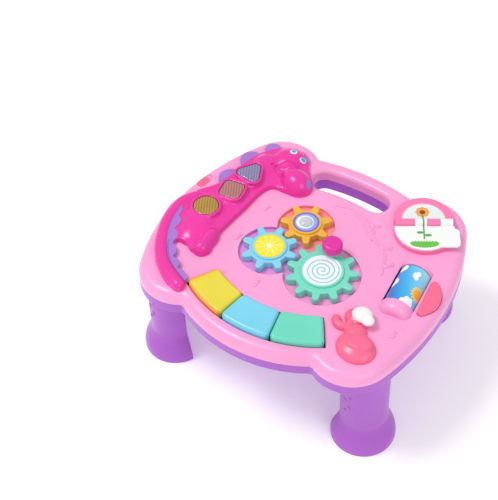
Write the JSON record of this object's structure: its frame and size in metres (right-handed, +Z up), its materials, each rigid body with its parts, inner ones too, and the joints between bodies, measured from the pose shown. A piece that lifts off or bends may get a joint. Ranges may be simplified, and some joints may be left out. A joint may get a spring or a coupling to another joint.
{
  "type": "activity table",
  "caption": "Child's musical activity table with piano keys, meshing gears, light-up dinosaur, picture disc, roller drum, elephant and detachable legs",
  "frame": {"origin": "middle of the footprint, on the floor under the legs", "axes": "+X to the right of the child who stands at the front, +Y to the back where the carrying handle is, +Z up"},
  "size_m": [0.341, 0.295, 0.174],
  "materials": {
    "shell_pink": "moulded, smooth gloss",
    "base_purple": "moulded, smooth gloss",
    "dinosaur_magenta": "moulded, smooth gloss",
    "crest_purple": "moulded, smooth gloss",
    "lens_amber": "clear tinted, ribbed",
    "lens_pink": "clear tinted, ribbed",
    "lens_violet": "clear tinted, ribbed",
    "eye_blue": "moulded, smooth gloss",
    "gear_teal": "moulded, smooth gloss",
    "gear_sky": "moulded, smooth gloss",
    "gear_orange": "moulded, smooth gloss",
    "cap_white": "moulded, smooth gloss",
    "cap_yellow": "moulded, smooth gloss",
    "cap_violet": "moulded, smooth gloss",
    "dome_clear": "clear",
    "steel": "plated steel",
    "knob_magenta": "moulded, smooth gloss",
    "key_yellow": "moulded, smooth gloss",
    "key_sky": "moulded, smooth gloss",
    "key_mint": "moulded, smooth gloss",
    "pad_rubber": "moulded, matt",
    "board_green": "moulded, matt",
    "coral": "moulded, smooth gloss",
    "ear_white": "moulded, smooth gloss",
    "disc_pink": "moulded, smooth gloss",
    "drum_print": "moulded, smooth gloss",
    "lamp_clear": "moulded, smooth gloss",
    "switch_black": "moulded, matt",
    "cell_dark": "printed metal sleeve",
    "contact_nickel": "plated steel"
  },
  "bodies": {
    "case": {"top_shell": "shell_pink", "base_tray": "base_purple", "dinosaur_cover": "dinosaur_magenta", "dinosaur_spikes": "crest_purple", "lens_round": "lens_amber", "lens_square": "lens_pink", "lens_triangle": "lens_violet", "dinosaur_eyes": "eye_blue", "gear_screws": "steel", "case_screws": "steel", "speaker_screws": "steel", "board_screws": "steel", "roller_axle": "steel", "flap_pin": "steel", "ear_pin": "steel", "key_pad_yellow": "pad_rubber", "key_pad_blue": "pad_rubber", "key_pad_teal": "pad_rubber", "side_button_pad": "pad_rubber", "key_board": "board_green", "button_board": "board_green", "light_board": "board_green", "main_board": "board_green", "elephant_body": "coral", "picture_plate": "disc_pink", "lamps": "lamp_clear", "power_switch": "switch_black", "chip_cover": "switch_black", "speaker": "switch_black", "batteries": "cell_dark", "battery_contacts": "contact_nickel"},
    "gear_big": {"gear_big": "gear_teal", "gear_big_disc": "cap_white", "crank_pin": "steel"},
    "crank_knob": {"crank_knob": "knob_magenta"},
    "gear_blue": {"gear_blue": "gear_sky", "gear_blue_disc": "cap_yellow"},
    "gear_yellow": {"gear_yellow": "gear_orange", "gear_yellow_ring": "cap_violet", "gear_yellow_dome": "dome_clear"},
    "key_yellow": {"key_yellow": "key_yellow"},
    "key_blue": {"key_blue": "key_sky"},
    "key_teal": {"key_teal": "key_mint"},
    "side_button": {"side_button": "coral"},
    "roller_drum": {"roller_drum": "drum_print"},
    "picture_flap": {"picture_flap": "ear_white"},
    "elephant_ear": {"elephant_ear": "ear_white"},
    "power_slider": {"power_slider": "coral"},
    "leg_front_right": {"leg_front_right": "base_purple"},
    "leg_front_left": {"leg_front_left": "base_purple"},
    "leg_rear_right": {"leg_rear_right": "base_purple"},
    "leg_rear_left": {"leg_rear_left": "base_purple"},
    "battery_door": {"battery_door": "base_purple", "door_screw": "steel"}
  },
  "joints": [
    {"name": "gear_big_spin", "type": "hinge", "parent": "case", "child": "gear_big", "pos_m": [0.03489, -0.02151, 0.152], "axis": [0, 0, 1], "continuous": true},
    {"name": "crank_knob_spin", "type": "hinge", "parent": "gear_big", "child": "crank_knob", "pos_m": [0.03135, 0.00727, 0.166], "axis": [0, 0, 1], "continuous": true},
    {"name": "gear_blue_spin", "type": "hinge", "parent": "case", "child": "gear_blue", "pos_m": [-0.0335, -0.0202, 0.152], "axis": [0, 0, 1], "continuous": true},
    {"name": "gear_yellow_spin", "type": "hinge", "parent": "case", "child": "gear_yellow", "pos_m": [-0.0161, 0.03092, 0.152], "axis": [0, 0, 1], "continuous": true},
    {"name": "key_yellow_press", "type": "slide", "parent": "case", "child": "key_yellow", "axis": [0, 0, -1], "range_m": [0, 0.003], "stiffness_N_per_m": 500, "springref_m": -0.0008, "deforming": ["key_pad_yellow"]},
    {"name": "key_blue_press", "type": "slide", "parent": "case", "child": "key_blue", "axis": [0, 0, -1], "range_m": [0, 0.003], "stiffness_N_per_m": 500, "springref_m": -0.0008, "deforming": ["key_pad_blue"]},
    {"name": "key_teal_press", "type": "slide", "parent": "case", "child": "key_teal", "axis": [0, 0, -1], "range_m": [0, 0.003], "stiffness_N_per_m": 500, "springref_m": -0.0008, "deforming": ["key_pad_teal"]},
    {"name": "side_button_press", "type": "slide", "parent": "case", "child": "side_button", "axis": [0, 0, -1], "range_m": [0, 0.003], "stiffness_N_per_m": 500, "springref_m": -0.0008, "deforming": ["side_button_pad"]},
    {"name": "roller_drum_spin", "type": "hinge", "parent": "case", "child": "roller_drum", "pos_m": [0.1248, 0.0073, 0.143], "axis": [-0.0837, 0.9965, 0], "continuous": true},
    {"name": "picture_flap_turn", "type": "hinge", "parent": "case", "child": "picture_flap", "pos_m": [0.0995, 0.0972, 0.1573], "axis": [-0.866, -0.5, 0], "range_deg": [0, 178]},
    {"name": "elephant_ear_rock", "type": "hinge", "parent": "case", "child": "elephant_ear", "pos_m": [0.09846, -0.056, 0.1613], "axis": [0, 0, 1], "range_deg": [-15, 15]},
    {"name": "power_slider_slide", "type": "slide", "parent": "case", "child": "power_slider", "axis": [0.1392, 0.9903, 0], "range_m": [0, 0.005]},
    {"name": "leg_front_right_pull", "type": "slide", "parent": "case", "child": "leg_front_right", "axis": [0, 0, -1], "range_m": [0, 0.025]},
    {"name": "leg_front_left_pull", "type": "slide", "parent": "case", "child": "leg_front_left", "axis": [0, 0, -1], "range_m": [0, 0.025]},
    {"name": "leg_rear_right_pull", "type": "slide", "parent": "case", "child": "leg_rear_right", "axis": [0, 0, -1], "range_m": [0, 0.025]},
    {"name": "leg_rear_left_pull", "type": "slide", "parent": "case", "child": "leg_rear_left", "axis": [0, 0, -1], "range_m": [0, 0.025]},
    {"name": "battery_door_lift", "type": "slide", "parent": "case", "child": "battery_door", "axis": [0, 0, -1], "range_m": [0, 0.02]}
  ],
  "couplings": [
    {"joint": "gear_blue_spin", "follows": "gear_big_spin", "ratio": -1.375},
    {"joint": "gear_yellow_spin", "follows": "gear_big_spin", "ratio": 1.5714}
  ]
}
